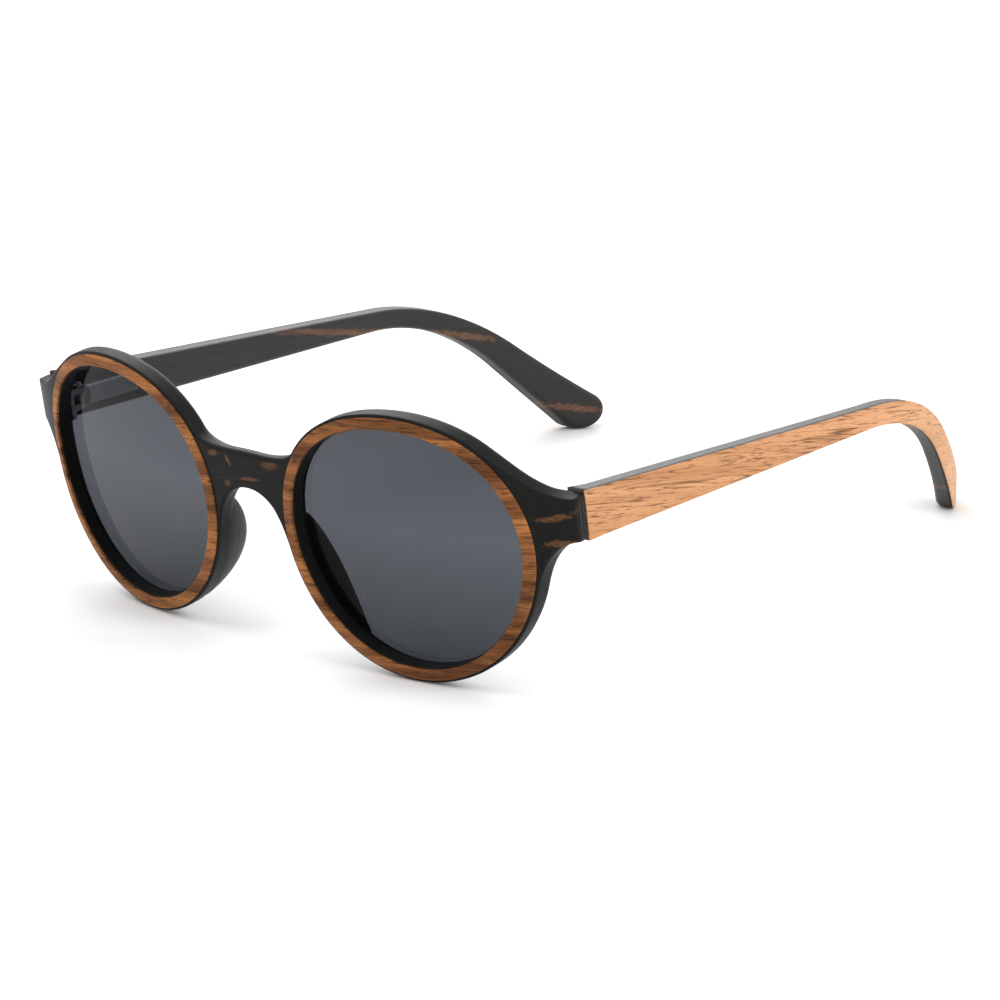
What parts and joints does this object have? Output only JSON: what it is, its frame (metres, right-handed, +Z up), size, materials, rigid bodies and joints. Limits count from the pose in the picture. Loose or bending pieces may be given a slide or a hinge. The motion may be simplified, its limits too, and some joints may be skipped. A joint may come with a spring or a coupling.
{
  "type": "sunglasses",
  "caption": "Round wooden sunglasses with raised wooden lens rings, tinted lenses, veneered folding temples and sprung hinges.",
  "frame": {"origin": "middle of the footprint, on the surface that the rims and the temple tips stand on", "axes": "+Z up, the front faces -Y, +X towards the wearer's left"},
  "size_m": [0.137, 0.1562, 0.0514],
  "materials": {
    "ebony": "satin",
    "ring_wood": "satin",
    "veneer": "satin",
    "lens": "gloss",
    "steel": "satin"
  },
  "bodies": {
    "front": {"front_outer": "ebony", "front_inner": "ebony", "left_ring": "ring_wood", "right_ring": "ring_wood", "left_lens": "lens", "right_lens": "lens", "left_nose_pad": "ebony", "right_nose_pad": "ebony", "left_hinge_leaf": "steel", "right_hinge_leaf": "steel", "left_leaf_screws": "steel", "right_leaf_screws": "steel", "left_hinge_screw": "steel", "right_hinge_screw": "steel"},
    "left_swing": {"left_slider": "steel", "left_slider_collar": "steel", "left_spring": "steel"},
    "right_swing": {"right_slider": "steel", "right_slider_collar": "steel", "right_spring": "steel"},
    "left_temple": {"left_spring_box": "steel", "left_box_plug": "steel", "left_box_screws": "steel", "left_temple_core": "ebony", "left_temple_veneer": "veneer"},
    "right_temple": {"right_spring_box": "steel", "right_box_plug": "steel", "right_box_screws": "steel", "right_temple_core": "ebony", "right_temple_veneer": "veneer"}
  },
  "joints": [
    {"name": "left_fold", "type": "hinge", "parent": "front", "child": "left_swing", "pos_m": [0.06281, -0.05981, 0.03508], "axis": [0, -0.1271, 0.9919], "range_deg": [0, 88]},
    {"name": "right_fold", "type": "hinge", "parent": "front", "child": "right_swing", "pos_m": [-0.06281, -0.05981, 0.03508], "axis": [0, 0.1271, -0.9919], "range_deg": [0, 80]},
    {"name": "left_spring_slide", "type": "slide", "parent": "left_swing", "child": "left_temple", "axis": [0, 1, 0], "range_m": [0, 0.0012], "stiffness_N_per_m": 800, "springref_m": -0.003, "deforming": ["left_spring"]},
    {"name": "right_spring_slide", "type": "slide", "parent": "right_swing", "child": "right_temple", "axis": [0, 1, 0], "range_m": [0, 0.0012], "stiffness_N_per_m": 800, "springref_m": -0.003, "deforming": ["right_spring"]}
  ]
}
